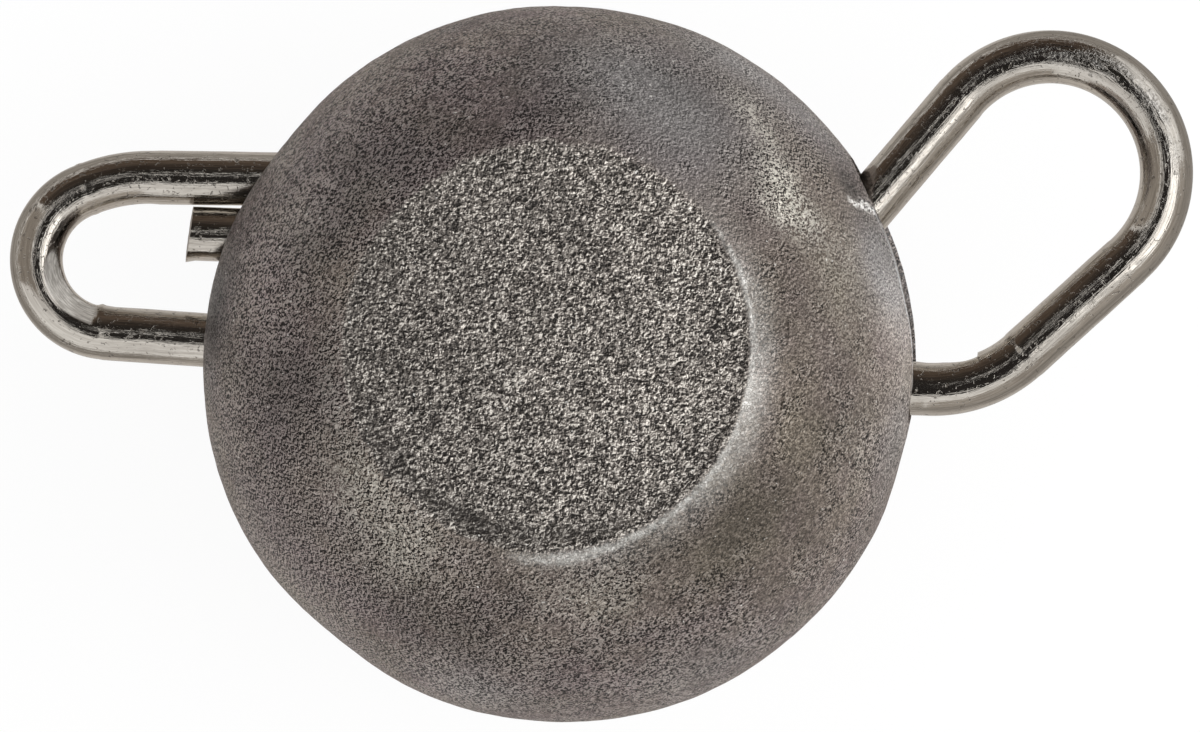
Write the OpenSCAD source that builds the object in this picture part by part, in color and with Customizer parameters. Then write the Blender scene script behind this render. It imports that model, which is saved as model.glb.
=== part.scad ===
// Dismountable ball sinker: a dense pressed ball with two flat faces and a straight slot,
// and one bent spring-wire clip whose two eyes take the line and the hook.
//
// The ball lies on its back flat. X runs along the slot, from the line eye to the hook eye.
// Y runs up the slot, and Z out of the front flat. The origin is the centre of the back flat.

/* [Ball] */
// Diameter of the ball
ball_d = 13.13; // [12.4:0.01:15]
// Thickness of the ball across its two flats
flat_gap = 10.7; // [9.6:0.1:11.6]
// Radius of the worn edge round each flat
rim_round = 0.15; // [0.05:0.01:0.3]
// Width of the raised lip round the front flat
lip_w = 0.2; // [0.1:0.01:0.5]
// Depth of the front flat below its lip
face_sink = 0.1; // [0.05:0.01:0.3]

/* [Slot] */
// Room round the wire in the slot
slot_clear = 0.1; // [0.05:0.01:0.2]
// Width of the lead-in along each edge of the slot's mouths
mouth_lead = 0.25; // [0.1:0.01:0.4]

/* [Wire] */
// Diameter of the wire
wire_d = 1.0; // [0.8:0.01:1.1]
// How much thinner in radius the wire is drawn in its bends
bend_thin = 0.01; // [0.01:0.001:0.03]
// Gap between the tail and the short leg at the short leg's cut end
leg_gap = 0.02; // [0.01:0.01:0.2]

/* [Line eye] */
// Distance from the ball to the start of the line eye's nose
line_reach = 1.83; // [1.2:0.01:3]
// Radius of the line eye's nose, at the middle of the wire
nose_r = 1.36; // [1.3:0.01:1.5]
// Radius of the line eye's back, at the middle of the wire
back_r = 3.08; // [2:0.01:4]
// Turn of the nose, in degrees
nose_turn = 155; // [145:1:160]
// Length of the straight between the nose and the back
eye_flat = 0.1; // [0.08:0.01:0.4]

/* [Hook eye] */
// Distance from the ball to the start of the lower shoulder
shoulder_gap = 0.133; // [0.05:0.001:0.6]
// Radius of the lower shoulder, at the middle of the wire
shoulder_r = 2.473; // [1.8:0.001:3]
// Turn of the lower shoulder, in degrees
shoulder_turn = 46.3; // [42:0.1:50]
// Length of the straight lower leg
hook_leg = 2.579; // [2:0.001:3.4]
// Radius of the hook eye, at the middle of the wire
hook_eye_r = 2.142; // [1.9:0.001:2.4]
// Turn of the hook eye, in degrees
hook_eye_turn = 187.4; // [184:0.1:192]

/* [Ends of the wire] */
// Slope of the tail, in degrees
tail_slope = 3; // [2:0.1:4]
// How far past the middle of the ball the hidden tail ends
tail_past = 2; // [0.5:0.1:2.5]
// Slope of the short leg, in degrees
short_slope = 1.9; // [1:0.1:2.5]
// How far the cut end of the short leg stands out of the ball
cut_out = 0.444; // [0.2:0.001:0.9]
// Radius of the knee between the short leg and the upper leg, at the middle of the wire
knee_r = 1.5; // [1:0.1:2]

/* [Hidden] */
$fn = 96;
// What every cut runs past the face that it opens
overrun = 0.5;

// Ball and flats
ball_r = ball_d / 2;
flat_half = flat_gap / 2;
flat_r = sqrt(ball_r ^ 2 - flat_half ^ 2);
face_r = flat_r - lip_w;

// Rounding of the rim: centre of the round, and the height at which it meets the ball
round_x = sqrt((ball_r - rim_round) ^ 2 - (flat_half - rim_round) ^ 2);
round_z = flat_half - rim_round;
round_top = round_z * ball_r / (ball_r - rim_round);

// Wire: a bend is a little thinner, and each straight laps into the bends at its ends
wire_r = wire_d / 2;
bend_wire_r = wire_r - bend_thin;
wire_lap = 3 * bend_thin;

// Line eye: the nose turns up out of the spine, and the back turns over into the tail
back_turn = 180 - nose_turn - tail_slope;
spine_left = ball_r + line_reach;
nose_centre = [-spine_left, nose_r];
nose_out = [-sin(nose_turn), -cos(nose_turn)];
nose_way = [nose_out[1], -nose_out[0]];
back_centre = nose_centre + (nose_r - back_r) * nose_out + eye_flat * nose_way;
tail_start = back_centre + back_r * [-sin(tail_slope), cos(tail_slope)];
function tail_y(x) = tail_start[1] + (x - tail_start[0]) * tan(tail_slope);
tail_len = (tail_past - tail_start[0]) / cos(tail_slope);

// Hook eye: its centre, and the point where the upper leg leaves it
spine_right = ball_r + shoulder_gap;
leg_start = [
    spine_right + shoulder_r * sin(shoulder_turn),
    shoulder_r * (1 - cos(shoulder_turn))
];
leg_end = leg_start + hook_leg * [cos(shoulder_turn), sin(shoulder_turn)];
eye_centre = leg_end + hook_eye_r * [-sin(shoulder_turn), cos(shoulder_turn)];
upper_slope = shoulder_turn + hook_eye_turn - 180;
upper_way = [cos(upper_slope), sin(upper_slope)];
upper_side = [-upper_way[1], upper_way[0]];
upper_start = eye_centre + hook_eye_r * upper_side;

// Short leg: a line just under the tail, which the upper leg comes down to meet at the knee
cut_x = -(ball_r + cut_out);
cut_y = tail_y(cut_x) - (wire_d + leg_gap) / cos(tail_slope);
knee_turn = upper_slope - short_slope;
upper_run = (upper_start[1] - cut_y - (upper_start[0] - cut_x) * tan(short_slope))
    / (upper_way[1] - upper_way[0] * tan(short_slope));
knee_corner = upper_start - upper_run * upper_way;
knee_cut_back = knee_r * tan(knee_turn / 2);
upper_len = upper_run - knee_cut_back;
short_len = (knee_corner[0] - cut_x) / cos(short_slope) - knee_cut_back;

// Slot: it clears the wire all round, from the spine up to the tail and the upper leg
slot_w = wire_d + 2 * slot_clear;
slot_r = slot_w / 2;
outer_foot = (upper_start + wire_r * upper_side) * upper_side;
outer_chord = sqrt(ball_r ^ 2 - outer_foot ^ 2);
exit_y = (outer_foot * upper_side + outer_chord * upper_way)[1];
tail_top = tail_y(tail_past) + wire_r / cos(tail_slope);
slot_rise = max(exit_y, tail_top) + slot_clear - slot_r;

// Half outline of the ball, to be turned round Z about the ball's centre
module ball_outline() {
    intersection() {
        circle(ball_r);
        translate([0, -round_top]) square([ball_d, 2 * round_top]);
    }
    translate([0, -flat_half]) square([round_x, flat_gap]);
    for (side = [-1, 1])
        translate([round_x, side * round_z]) circle(rim_round);
}

// The slot with round ends, run right through the ball
module slot_cut() {
    length = ball_d + 2 * overrun;
    rotate([90, 0, 90])
        translate([0, 0, -length / 2])
            linear_extrude(length) {
                circle(slot_r);
                translate([0, -slot_r]) square([slot_rise, slot_w]);
                translate([slot_rise, 0]) circle(slot_r);
            }
}

// Both mouths' lead-in: a V-shaped ring along the straight edges of the slot
module mouth_cut() {
    reach = slot_r + mouth_lead + overrun;
    for (side = [0, 1])
        mirror([side, 0, 0])
            rotate_extrude(angle = asin(slot_rise / ball_r))
                polygon([
                    [ball_r - mouth_lead, -slot_r],
                    [ball_r + overrun, -reach],
                    [ball_r + overrun, reach],
                    [ball_r - mouth_lead, slot_r]
                ]);
}

module sinker_body() {
    color([0.33, 0.32, 0.31])
        translate([0, 0, flat_half]) difference() {
            rotate_extrude() ball_outline();
            translate([0, 0, flat_half - face_sink]) cylinder(r = face_r, h = face_sink + overrun);
            slot_cut();
            mouth_cut();
        }
}

// A bend that starts along X, to the left where the turn is positive
module wire_bend(radius, turn) {
    side = sign(turn);
    translate([0, side * radius, 0]) rotate(-90 * side + min(turn, 0))
        rotate_extrude(angle = abs(turn)) translate([radius, 0]) circle(bend_wire_r);
}

// A straight run of wire along X, which laps into a bend at its start and maybe at its end
module wire_straight(length, end_lap) {
    translate([-wire_lap, 0, 0]) rotate([0, 90, 0])
        cylinder(r = wire_r, h = wire_lap + length + end_lap);
}

// A run of wire as a wire former makes it: each step is a bend, then a straight
module wire_run(steps, i = 0) {
    if (i < len(steps)) {
        radius = steps[i][0];
        turn = steps[i][1];
        length = steps[i][2];
        side = sign(turn);
        wire_bend(radius, turn);
        translate([0, side * radius, 0]) rotate(turn) translate([0, -side * radius, 0]) {
            wire_straight(length, i < len(steps) - 1 ? wire_lap : 0);
            translate([length, 0, 0]) wire_run(steps, i + 1);
        }
    }
}

module wire_clip() {
    hook_steps = [
        [shoulder_r, shoulder_turn, hook_leg],
        [hook_eye_r, hook_eye_turn, upper_len],
        [knee_r, -knee_turn, short_len]
    ];
    line_steps = [
        [nose_r, -nose_turn, eye_flat],
        [back_r, -back_turn, tail_len]
    ];
    color([0.62, 0.6, 0.57])
        translate([0, 0, flat_half]) {
            translate([-spine_left, 0, 0]) wire_straight(spine_left + spine_right, wire_lap);
            translate([spine_right, 0, 0]) wire_run(hook_steps);
            translate([-spine_left, 0, 0]) rotate(180) wire_run(line_steps);
        }
}

sinker_body();
wire_clip();
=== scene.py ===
"""Looks of the dismountable ball sinker: the granular pressed ball and its bent wire clip."""

import math

import bmesh
import bpy
import numpy as np
from mathutils import Matrix, Vector, noise


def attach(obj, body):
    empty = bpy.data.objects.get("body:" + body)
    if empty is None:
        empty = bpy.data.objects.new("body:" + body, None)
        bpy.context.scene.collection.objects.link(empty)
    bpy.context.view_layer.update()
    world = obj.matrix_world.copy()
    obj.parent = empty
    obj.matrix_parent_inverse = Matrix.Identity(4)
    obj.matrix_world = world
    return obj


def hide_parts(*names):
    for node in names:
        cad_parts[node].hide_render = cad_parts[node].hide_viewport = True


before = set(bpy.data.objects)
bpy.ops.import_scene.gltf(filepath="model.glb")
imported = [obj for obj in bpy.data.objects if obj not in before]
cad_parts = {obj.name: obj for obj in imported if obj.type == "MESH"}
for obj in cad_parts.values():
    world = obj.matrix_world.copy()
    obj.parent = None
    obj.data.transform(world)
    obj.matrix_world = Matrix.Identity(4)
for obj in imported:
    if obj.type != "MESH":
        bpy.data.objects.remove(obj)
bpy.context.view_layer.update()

MM = 0.001

# The construction's named sizes that the dressed pieces follow, in millimetres and degrees
BALL_R = 13.13 / 2
FLAT_HALF = 10.7 / 2
FACE_SINK = 0.1
SLOT_HALF = 0.6
SLOT_RISE = 3.43
WIRE_R = 0.5
SPINE_LEFT, SPINE_RIGHT = 8.395, 6.698
NOSE_R, NOSE_TURN, EYE_FLAT = 1.36, 155.0, 0.1
BACK_R, BACK_TURN, TAIL_LEN = 3.08, 22.0, 9.752
SHOULDER_R, SHOULDER_TURN, HOOK_LEG = 2.473, 46.3, 2.579
HOOK_R, HOOK_TURN, UPPER_LEN = 2.142, 187.4, 3.057
KNEE_R, KNEE_TURN, SHORT_LEN = 1.5, 51.8, 11.039
CENTRE = np.array([0.0, 0.0, FLAT_HALF])


# Helpers

def smooth(x, low, high):
    """0 below low, 1 above high, and a smooth rise between them."""
    t = np.clip((np.asarray(x, float) - low) / (high - low), 0, 1)
    return t * t * (3 - 2 * t)


def grain(points, size, seed):
    """Smooth noise of about -1 to 1 with bumps of the given size in millimetres."""
    shift = np.array([seed * 17.31, seed * 5.77, seed * 11.93])
    return np.array([noise.noise(p) for p in (points / size + shift).tolist()])


def bell(x, spread):
    """1 where x is 0, falling off to both sides as a bell curve of the given spread."""
    return np.exp(-((x / spread) ** 2))


def smooth_min(a, b, width):
    """The lesser of the two, with a soft change from one to the other."""
    h = np.clip(width - np.abs(a - b), 0, None) / width
    return np.minimum(a, b) - h * h * width / 4


def turn_gap(a, b):
    """Difference between two angles in degrees, from -180 to 180."""
    return (np.asarray(a) - b + 180) % 360 - 180


def mesh_object(name, points, faces, unit=MM):
    """A new object in the scene. Its points are in millimetres unless another unit is given."""
    mesh = bpy.data.meshes.new(name)
    mesh.from_pydata((np.asarray(points) * unit).tolist(), [], faces)
    mesh.update()
    obj = bpy.data.objects.new(name, mesh)
    bpy.context.scene.collection.objects.link(obj)
    return obj


def set_attribute(obj, name, values):
    """Stores one number or one vector for each vertex."""
    values = np.asarray(values, np.float32)
    kind, field = ("FLOAT", "value") if values.ndim == 1 else ("FLOAT_VECTOR", "vector")
    attribute = obj.data.attributes.new(name, kind, "POINT")
    attribute.data.foreach_set(field, values.ravel())


def vertices_of(obj):
    """An object's points, in millimetres."""
    co = np.zeros(len(obj.data.vertices) * 3)
    obj.data.vertices.foreach_get("co", co)
    return co.reshape(-1, 3) / MM


def tube_faces(rings, n):
    """Quads that join rings of n points each, one ring after another."""
    faces = []
    for k in range(rings - 1):
        for i in range(n):
            a, b = k * n + i, k * n + (i + 1) % n
            faces.append((a, b, b + n, a + n))
    return faces


def mend_normals(obj):
    """Turns every face outward."""
    bm = bmesh.new()
    bm.from_mesh(obj.data)
    bmesh.ops.recalc_face_normals(bm, faces=bm.faces)
    bm.to_mesh(obj.data)
    bm.free()


def shade_by_angle(obj, degrees):
    """Smooth shading, with edges sharper than the angle left sharp."""
    mesh = obj.data
    mesh.shade_smooth()
    mesh.set_sharp_from_angle(angle=math.radians(degrees))


# Ball

# Where the ball is fuller (+) or flatter (-) seen from the front: direction, spread, amount
BALL_WAVES = [
    (-11, 9, -0.075), (-125, 11, -0.07), (145, 12, -0.075), (-64, 20, 0.03),
    (-155, 14, 0.03), (103, 14, 0.03), (67, 12, 0.025),
]
# Middle and radius of the granular floor of the front, and where its rim starts and is highest
FLOOR_MID = np.array([0.08, 0.20])
FLOOR_R = 3.59
RIM_IN, RIM_CREST = 3.70, 3.80
# A point of the ball that is higher than this is on the front
FRONT_Z = 4.7
# Direction in which the front's rim is crisp. It is worn round on the other side.
CRISP_WAY = -45
# Small dents in the front's rim: direction, spread in degrees, and how far the edge draws in
RIM_DENTS = [
    (9, 2.2, 0.06), (-9, 2.6, 0.08), (-16, 1.5, 0.04), (-112, 1.6, 0.07), (38, 3, 0.05),
    (-60, 4, 0.03),
]
# Rings of the front: radius at which each zone ends, spacing of its rings, spacing of their points
FRONT_ZONES = [(3.4, 0.038, 0.043), (4.0, 0.03, 0.048), (4.45, 0.06, 0.08)]
# Rings of the ball's side: spacing of their points, and the same below the given height
SIDE_SPACING, LOW_SPACING, LOW_Z = 0.1, 0.14, -1.5
# Rings of the back: radius at which the side ends, spacing of points, rounding of the flat's edge
BACK_OUT, BACK_SPACING, BACK_ROUND = 4.0, 0.13, 0.2
BACK_RINGS = [*np.arange(3.98, 3.5, -0.06), *np.arange(3.45, 0.05, -BACK_SPACING), 0]
# Soft areas of the ball's skin: direction, tilt off the front's axis and spread in degrees, then
# how much rougher (+) or smoother (-), lighter (+) or darker (-), and more olive (+) or more
# purple (-) each one is. The lighter and darker amounts are partly painted light and shade.
AREAS = [
    (41, 56, 11, 0.3, 0.06, 0.5), (22, 60, 14, -0.3, 0.1, 0.6), (10, 73, 10, -0.2, 0.5, 0.1),
    (62, 48, 14, -0.4, 0.02, -0.9), (100, 41, 11, -0.1, -0.22, -0.9), (112, 60, 13, 0.3, 0.05, -0.5),
    (136, 42, 14, 0.6, -0.32, -0.8), (146, 57, 12, 0.8, 0.1, -0.6), (166, 56, 10, 0.8, 0.2, -0.5),
    (174, 75, 11, 0.5, -0.5, -0.8), (-168, 46, 10, 0.8, -0.36, -0.7), (-158, 60, 12, 0.8, 0.1, -0.5),
    (-140, 66, 12, 0.7, 0.18, -0.8), (-118, 58, 9, 0.2, -0.1, -0.9), (-124, 43, 10, 0.7, 0.12, 0.3),
    (-98, 55, 12, 0.2, -0.14, -0.4), (-64, 45, 13, 0.1, -0.08, 0.4), (-38, 47, 13, -0.3, -0.29, 0.9),
    (-14, 50, 12, -0.2, -0.05, 0.7), (-72, 68, 16, 0.4, -0.02, -0.8), (-20, 68, 10, 0.1, 0.1, 0.0),
    (70, 125, 30, 0.3, 0.1, 0.4), (-40, 120, 26, -0.3, -0.1, -0.5), (-150, 130, 30, 0.3, 0.1, -0.3),
    (150, 150, 30, -0.2, -0.1, 0.3), (-130, 80, 14, 0.5, 0.1, 0.2), (158, 82, 12, 0.3, -0.15, -0.3),
    (-6, 79, 10, -0.2, 0.25, 0.3), (8, 81, 10, -0.2, 0.45, -0.3), (64, 76, 9, -0.1, 0.22, -0.2),
    (-166, 66, 6, 0.3, 0.16, -0.3), (178, 72, 4, 0.0, -0.16, -0.2), (11, 50, 8, -0.2, -0.12, 0.0),
    (-100, 72, 9, 0.3, 0.2, -0.4), (-5, 41, 7, 0.0, 0.2, 0.1), (-177, 54, 7, 0.8, 0.15, -0.2),
    (161, 49, 6, 0.2, -0.22, -0.1), (96, 58, 12, 0.0, -0.12, 0.0), (66, 60, 10, 0.0, -0.13, 0.0),
    (-106, 79, 9, 0.2, 0.22, -0.5), (20, 70, 8, -0.4, 0.05, -0.2), (47, 78, 9, -0.3, 0.12, -0.4),
]
# Cream flakes in the skin, and areas of painted cool grey sheen: direction, tilt, spread, amount
FLAKES = [
    (55, 61, 4, 0.5), (49, 58, 3, 0.4), (42, 54, 4, 0.7), (36, 50, 4, 0.8), (31, 54, 4, 0.5),
    (22, 57, 6, 0.15), (-12, 63, 8, 0.12), (-123, 44, 7, 0.35), (-140, 42, 6, 0.35),
    (-76, 43, 9, 0.25), (10, 55, 10, 0.10), (155, 52, 8, 0.15), (60, 110, 14, 0.3),
    (-110, 118, 16, 0.3),
]
COOL_SHEEN = [
    (62, 48, 15, 0.85), (82, 55, 13, 0.7), (18, 77, 12, 0.9), (178, 76, 9, 0.5), (-60, 74, 12, 0.4),
    (-8, 80, 10, 0.6), (64, 76, 10, 0.9), (-100, 72, 9, 0.6), (20, 70, 8, 0.5), (47, 78, 10, 0.8),
]
# Round the slot's mouths, where the mesh is finer: least distance along the slot, greatest across
# it, lowest and highest
MOUTH_X, MOUTH_Z, MOUTH_LOW, MOUTH_HIGH = 4.3, 1.65, -1.0, 4.7
# Depths below the ball's surface at which the slot's mouth has a ring of points
MOUTH_DEPTHS = [-0.5, -0.25, -0.1, 0, 0.05, 0.1, 0.16, 0.23, 0.31, 0.4, 0.5, 0.65, 0.85]
# How deep the worn lead-in goes, and how wide it is at the left mouth against the right one
LEAD_DEPTH, LEFT_WEAR = 0.5, 0.5
# The right mouth's worn corner, and the middle and radius of the finest mesh round it
CORNER = np.array([5.21, 3.55, 1.82])
CORNER_MESH, CORNER_MESH_R = np.array([5.45, 3.3, 1.7]), 0.85
# The burnished burrs that the clip has raised beside the corner: from, to, spread, height
BURRS = [
    ((5.24, 3.24, 2.27), (5.60, 3.15, 1.38), 0.075, 0.040),
    ((5.43, 3.33, 1.70), (5.61, 3.15, 1.30), 0.050, 0.035),
]


def ring_stack(rings):
    """Joins rings of different point counts with triangles. A ring's points are in turn order."""
    points, starts, faces = [], [], []
    for ring in rings:
        starts.append(len(points))
        points.extend(ring)
    for k in range(len(rings) - 1):
        na, nb = len(rings[k]), len(rings[k + 1])
        a0, b0 = starts[k], starts[k + 1]
        if na == 1:
            faces += [(a0, b0 + j, b0 + (j + 1) % nb) for j in range(nb)]
            continue
        if nb == 1:
            faces += [(a0 + (i + 1) % na, a0 + i, b0) for i in range(na)]
            continue
        i = j = 0
        while i < na or j < nb:
            if j >= nb or (i < na and (i + 1) / na <= (j + 1) / nb):
                faces.append((a0 + (i + 1) % na, a0 + i % na, b0 + j % nb))
                i += 1
            else:
                faces.append((a0 + i % na, b0 + j % nb, b0 + (j + 1) % nb))
                j += 1
    return np.array(points), faces


def waves(way, entries):
    """Sum of bell-shaped waves round the ball, each given by its direction, spread and amount."""
    return sum(amount * bell(turn_gap(way, middle), spread) for middle, spread, amount in entries)


def front_height(rho, way):
    """Height of the front above the ball's middle: granular floor, worn lip, then the ball."""
    a = np.radians(way)
    crisp = smooth(np.cos(np.radians(turn_gap(way, CRISP_WAY))), -0.45, 0.25)
    edge = np.stack([np.cos(a), np.sin(a), 0 * a], 1) * FLOOR_R
    wobble = 0.030 * grain(edge, 0.9, 3) + 0.030 * grain(edge, 0.3, 4)
    dent = waves(way, RIM_DENTS)
    worn = rho + dent + 0.35 * wobble * crisp
    ball = np.sqrt(np.clip(BALL_R ** 2 - worn ** 2, 0, None))
    top = smooth_min(ball, FLAT_HALF + 0 * rho, 0.30 - 0.225 * crisp)
    # The wall rises from the floor's wobbly edge to the rim
    start = FLOOR_R + FLOOR_MID[0] * np.cos(a) + FLOOR_MID[1] * np.sin(a) + wobble
    end = np.maximum(start + 0.08, RIM_IN + 0.5 * wobble)
    wall = smooth(rho + dent, start - 0.03, end)
    sink = FACE_SINK * (0.75 - 0.35 * np.sin(a) + 0.1 * crisp)
    return (FLAT_HALF - sink) * (1 - wall) + top * wall


def ball_mesh():
    """Rings of points from the middle of the front to the middle of the back."""
    rings = []

    def ring(rho, spacing):
        """Radius and direction of a ring's points. Every other ring is turned by half a step."""
        n = max(1, int(round(2 * math.pi * rho / spacing)))
        return np.full(n, rho), (np.arange(n) + 0.5 * (len(rings) % 2)) * 360 / n

    def add(rho, way, z):
        turn = np.radians(way)
        rings.append(np.stack([rho * np.cos(turn), rho * np.sin(turn), z], 1))

    inner = 0
    for outer, step, spacing in FRONT_ZONES:
        for radius in np.arange(inner, outer, step):
            rho, way = ring(radius, spacing)
            add(rho, way, front_height(rho, way))
        inner = outer
    polar = math.asin(inner / BALL_R)
    while polar < math.pi - math.asin(BACK_OUT / BALL_R):
        z = BALL_R * math.cos(polar)
        spacing = SIDE_SPACING if z > LOW_Z else LOW_SPACING
        rho, way = ring(BALL_R * math.sin(polar), spacing)
        add(rho, way, z + 0 * rho)
        polar += 0.9 * spacing / BALL_R
    for radius in BACK_RINGS:
        rho, way = ring(radius, BACK_SPACING)
        add(rho, way, -smooth_min(np.sqrt(BALL_R ** 2 - rho ** 2), FLAT_HALF + 0 * rho, BACK_ROUND))
    return ring_stack(rings)


def refine(obj, near):
    """Splits the faces where near(points about the ball's middle) is true."""
    chosen = near(vertices_of(obj) - CENTRE)
    bm = bmesh.new()
    bm.from_mesh(obj.data)
    edges = [e for e in bm.edges if chosen[e.verts[0].index] and chosen[e.verts[1].index]]
    bmesh.ops.subdivide_edges(bm, edges=edges, cuts=1, use_grid_fill=True)
    bmesh.ops.triangulate(bm, faces=[f for f in bm.faces if len(f.verts) > 3])
    bm.to_mesh(obj.data)
    bm.free()


def by_mouth(p):
    """True round the edges of the slot's two mouths."""
    x, y, z = p.T
    return (np.abs(x) > MOUTH_X) & (np.abs(z) < MOUTH_Z) & (y > MOUTH_LOW) & (y < MOUTH_HIGH)


def by_corner(p):
    """True round the worn corner of the right mouth."""
    return np.linalg.norm(p - CORNER_MESH, axis=1) < CORNER_MESH_R


def around(points):
    """Distance off the front's axis, direction round it, and way out from the ball's middle."""
    rho = np.hypot(points[:, 0], points[:, 1])
    way = np.degrees(np.arctan2(points[:, 1], points[:, 0]))
    out = points / np.linalg.norm(points, axis=1)[:, None]
    return rho, way, out


def off_floor_mid(p):
    """Distance from the middle of the front's floor."""
    return np.hypot(p[:, 0] - FLOOR_MID[0], p[:, 1] - FLOOR_MID[1])


def on_floor(p):
    """1 on the granular floor of the front, 0 off it."""
    ragged = 0.07 * grain(p * [1, 1, 0], 0.5, 13) + 0.06 * grain(p * [1, 1, 0], 0.16, 14)
    edge = smooth(off_floor_mid(p) + ragged, FLOOR_R - 0.10, FLOOR_R + 0.10)
    return (p[:, 2] > FRONT_Z) * (1 - edge)


def floor_relief(p):
    """Height of the floor's grains, about -1 to 1."""
    flat = p * [1, 1, 0]
    return 0.5 * grain(flat, 0.34, 8) + 0.9 * grain(flat, 0.125, 9) + 0.6 * grain(flat, 0.075, 10)


def burr_relief(out):
    """Height of the burnished burrs, in millimetres, for outward directions."""
    q = out * BALL_R
    total = np.zeros(len(q))
    for start, stop, spread, height in BURRS:
        a, b = np.array(start), np.array(stop)
        t = np.clip((q - a) @ (b - a) / ((b - a) @ (b - a)), 0, 1)
        d = np.linalg.norm(q - a - t[:, None] * (b - a), axis=1)
        total = np.maximum(total, height * bell(d, spread))
    return total


def shape_ball(p):
    """Moves the plain ball's points, given about its middle, to the tumbled shape."""
    rho, way, out = around(p)
    floor = on_floor(p)
    up = np.array([0.0, 0.0, 1.0])
    # The ball's own roundness
    side = (rho / BALL_R) ** 3
    move = side * waves(way, BALL_WAVES)
    # Tumbled unevenness, which leaves out the front's floor and the back flat
    tumble = 0.010 * grain(p, 1.3, 5) + 0.007 * grain(p, 0.5, 6) + 0.006 * grain(p, 0.22, 7)
    flat_back = smooth(-p[:, 2], 5.0, 5.3)
    move += (tumble - 0.012) * (1 - floor) * (1 - flat_back)
    # The worn corner of the right mouth
    near = np.linalg.norm(out * BALL_R - CORNER, axis=1)
    dent = bell(near, 0.42)
    pitted = dent * (0.05 * np.abs(grain(p, 0.13, 15)) + 0.02 * grain(p, 0.08, 16))
    move += burr_relief(out) * (0.6 + 1.2 * grain(p, 0.11, 17)) - 0.06 * dent - pitted
    p = p + out * move[:, None]
    # The grain of the front's floor and of the back flat
    back = 0.006 * grain(p, 0.4, 11) + 0.006 * grain(p, 0.2, 12)
    p += up * (0.022 * floor_relief(p) * floor + np.abs(back) * flat_back)[:, None]
    # Nothing leaves the construction's box
    p[:, 2] = np.clip(p[:, 2], -FLAT_HALF, FLAT_HALF)
    p[:, 1] = np.clip(p[:, 1], -BALL_R, BALL_R)
    return p


def front_flare(v):
    """How far the worn front lip of the slot's right mouth opens out at height v."""
    return 0.08 + 0.48 * smooth(v, 0.0, 2.0) + 0.2 * smooth(v, 2.4, 3.5)


def slot_section():
    """Outline of the slot, as points (up, across) with the way out at each."""
    arc_points, side_steps = 16, 30

    def arc(foot, start):
        turns = [start + math.pi * i / (arc_points - 1) for i in range(arc_points)]
        ways = [(math.sin(a), math.cos(a)) for a in turns]
        return [(foot + SLOT_HALF * up, SLOT_HALF * across, up, across) for up, across in ways]

    rise = [SLOT_RISE * i / side_steps for i in range(1, side_steps)]
    section = arc(0.0, math.pi) + [(v, SLOT_HALF, 0.0, 1.0) for v in rise]
    section += arc(SLOT_RISE, 0.0) + [(v, -SLOT_HALF, 0.0, -1.0) for v in rise[::-1]]
    return np.array(section)


def lead_in(depth):
    """How far open the lead-in is: 0 from its foot down, 1 at the surface, and more outside it."""
    t = 1 - depth / LEAD_DEPTH
    if t < 0:
        return 0.0
    return t * t if t < 1 else 1 + 2 * (t - 1)


def slot_cutter():
    """The slot's inside with mouths that open out in a worn lead-in."""
    section = slot_section()
    v, z, nv, nz = section.T
    surface = np.sqrt(BALL_R ** 2 - v ** 2 - z ** 2)
    flare_front = front_flare(v) * np.clip(nz, 0, 1)
    flare_rear = (0.12 + 0.10 * smooth(v, 0.5, 3.0)) * np.clip(-nz, 0, 1)
    flare = flare_front + flare_rear + 0.07 * np.abs(nv)

    def mouth(side, wear):
        return [(side * (surface - d), flare * wear * lead_in(d)) for d in MOUTH_DEPTHS]

    # Rings from the right mouth through the slot to the left mouth: place along it, how far open
    deepest = surface - MOUTH_DEPTHS[-1]
    through = [(deepest * f, 0 * v) for f in np.linspace(1, -1, 50)[1:-1]]
    rings = mouth(1, 1.0) + through + mouth(-1, LEFT_WEAR)[::-1]
    points, n = [], len(section)
    for x, open_by in rings:
        ring = np.stack([x, v + nv * open_by, z + nz * open_by], 1)
        rough = 0.009 * grain(ring, 0.35, 21) + 0.008 * grain(ring, 0.13, 22) + 0.014
        ring[:, 1] += nv * rough
        ring[:, 2] += nz * rough
        points.extend(ring)
    ends = [tuple(range(n - 1, -1, -1)), tuple(range((len(rings) - 1) * n, len(rings) * n))]
    return np.array(points), tube_faces(len(rings), n) + ends


def patches(out, entries, column):
    """Sum of soft round patches on the ball, by the amount in the given column of each entry."""
    total = np.zeros(len(out))
    for entry in entries:
        a, t, spread = math.radians(entry[0]), math.radians(entry[1]), entry[2]
        middle = np.array([math.cos(a) * math.sin(t), math.sin(a) * math.sin(t), math.cos(t)])
        gap = np.degrees(np.arccos(np.clip(out @ middle, -1, 1)))
        total += entry[column] * bell(gap, spread)
    return total


def skin_areas(out):
    """How rough, how light, partly as painted light and shade, and how olive each place of the ball
    is.
    """
    q = out * BALL_R
    rough = 0.40 + patches(out, AREAS, 3) + 0.45 * grain(q, 0.9, 18) + 0.45 * grain(q, 0.35, 19)
    light = 0.95 + patches(out, AREAS, 4) + 0.16 * grain(q, 1.4, 26) + 0.10 * grain(q, 0.5, 27)
    olive = 0.5 + 0.5 * (patches(out, AREAS, 5) + 0.8 * grain(q, 1.1, 28) + 0.4 * grain(q, 0.4, 29))
    return np.clip(rough, 0, 1), np.clip(light, 0.4, 1.8), np.clip(olive, 0, 1)


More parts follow.
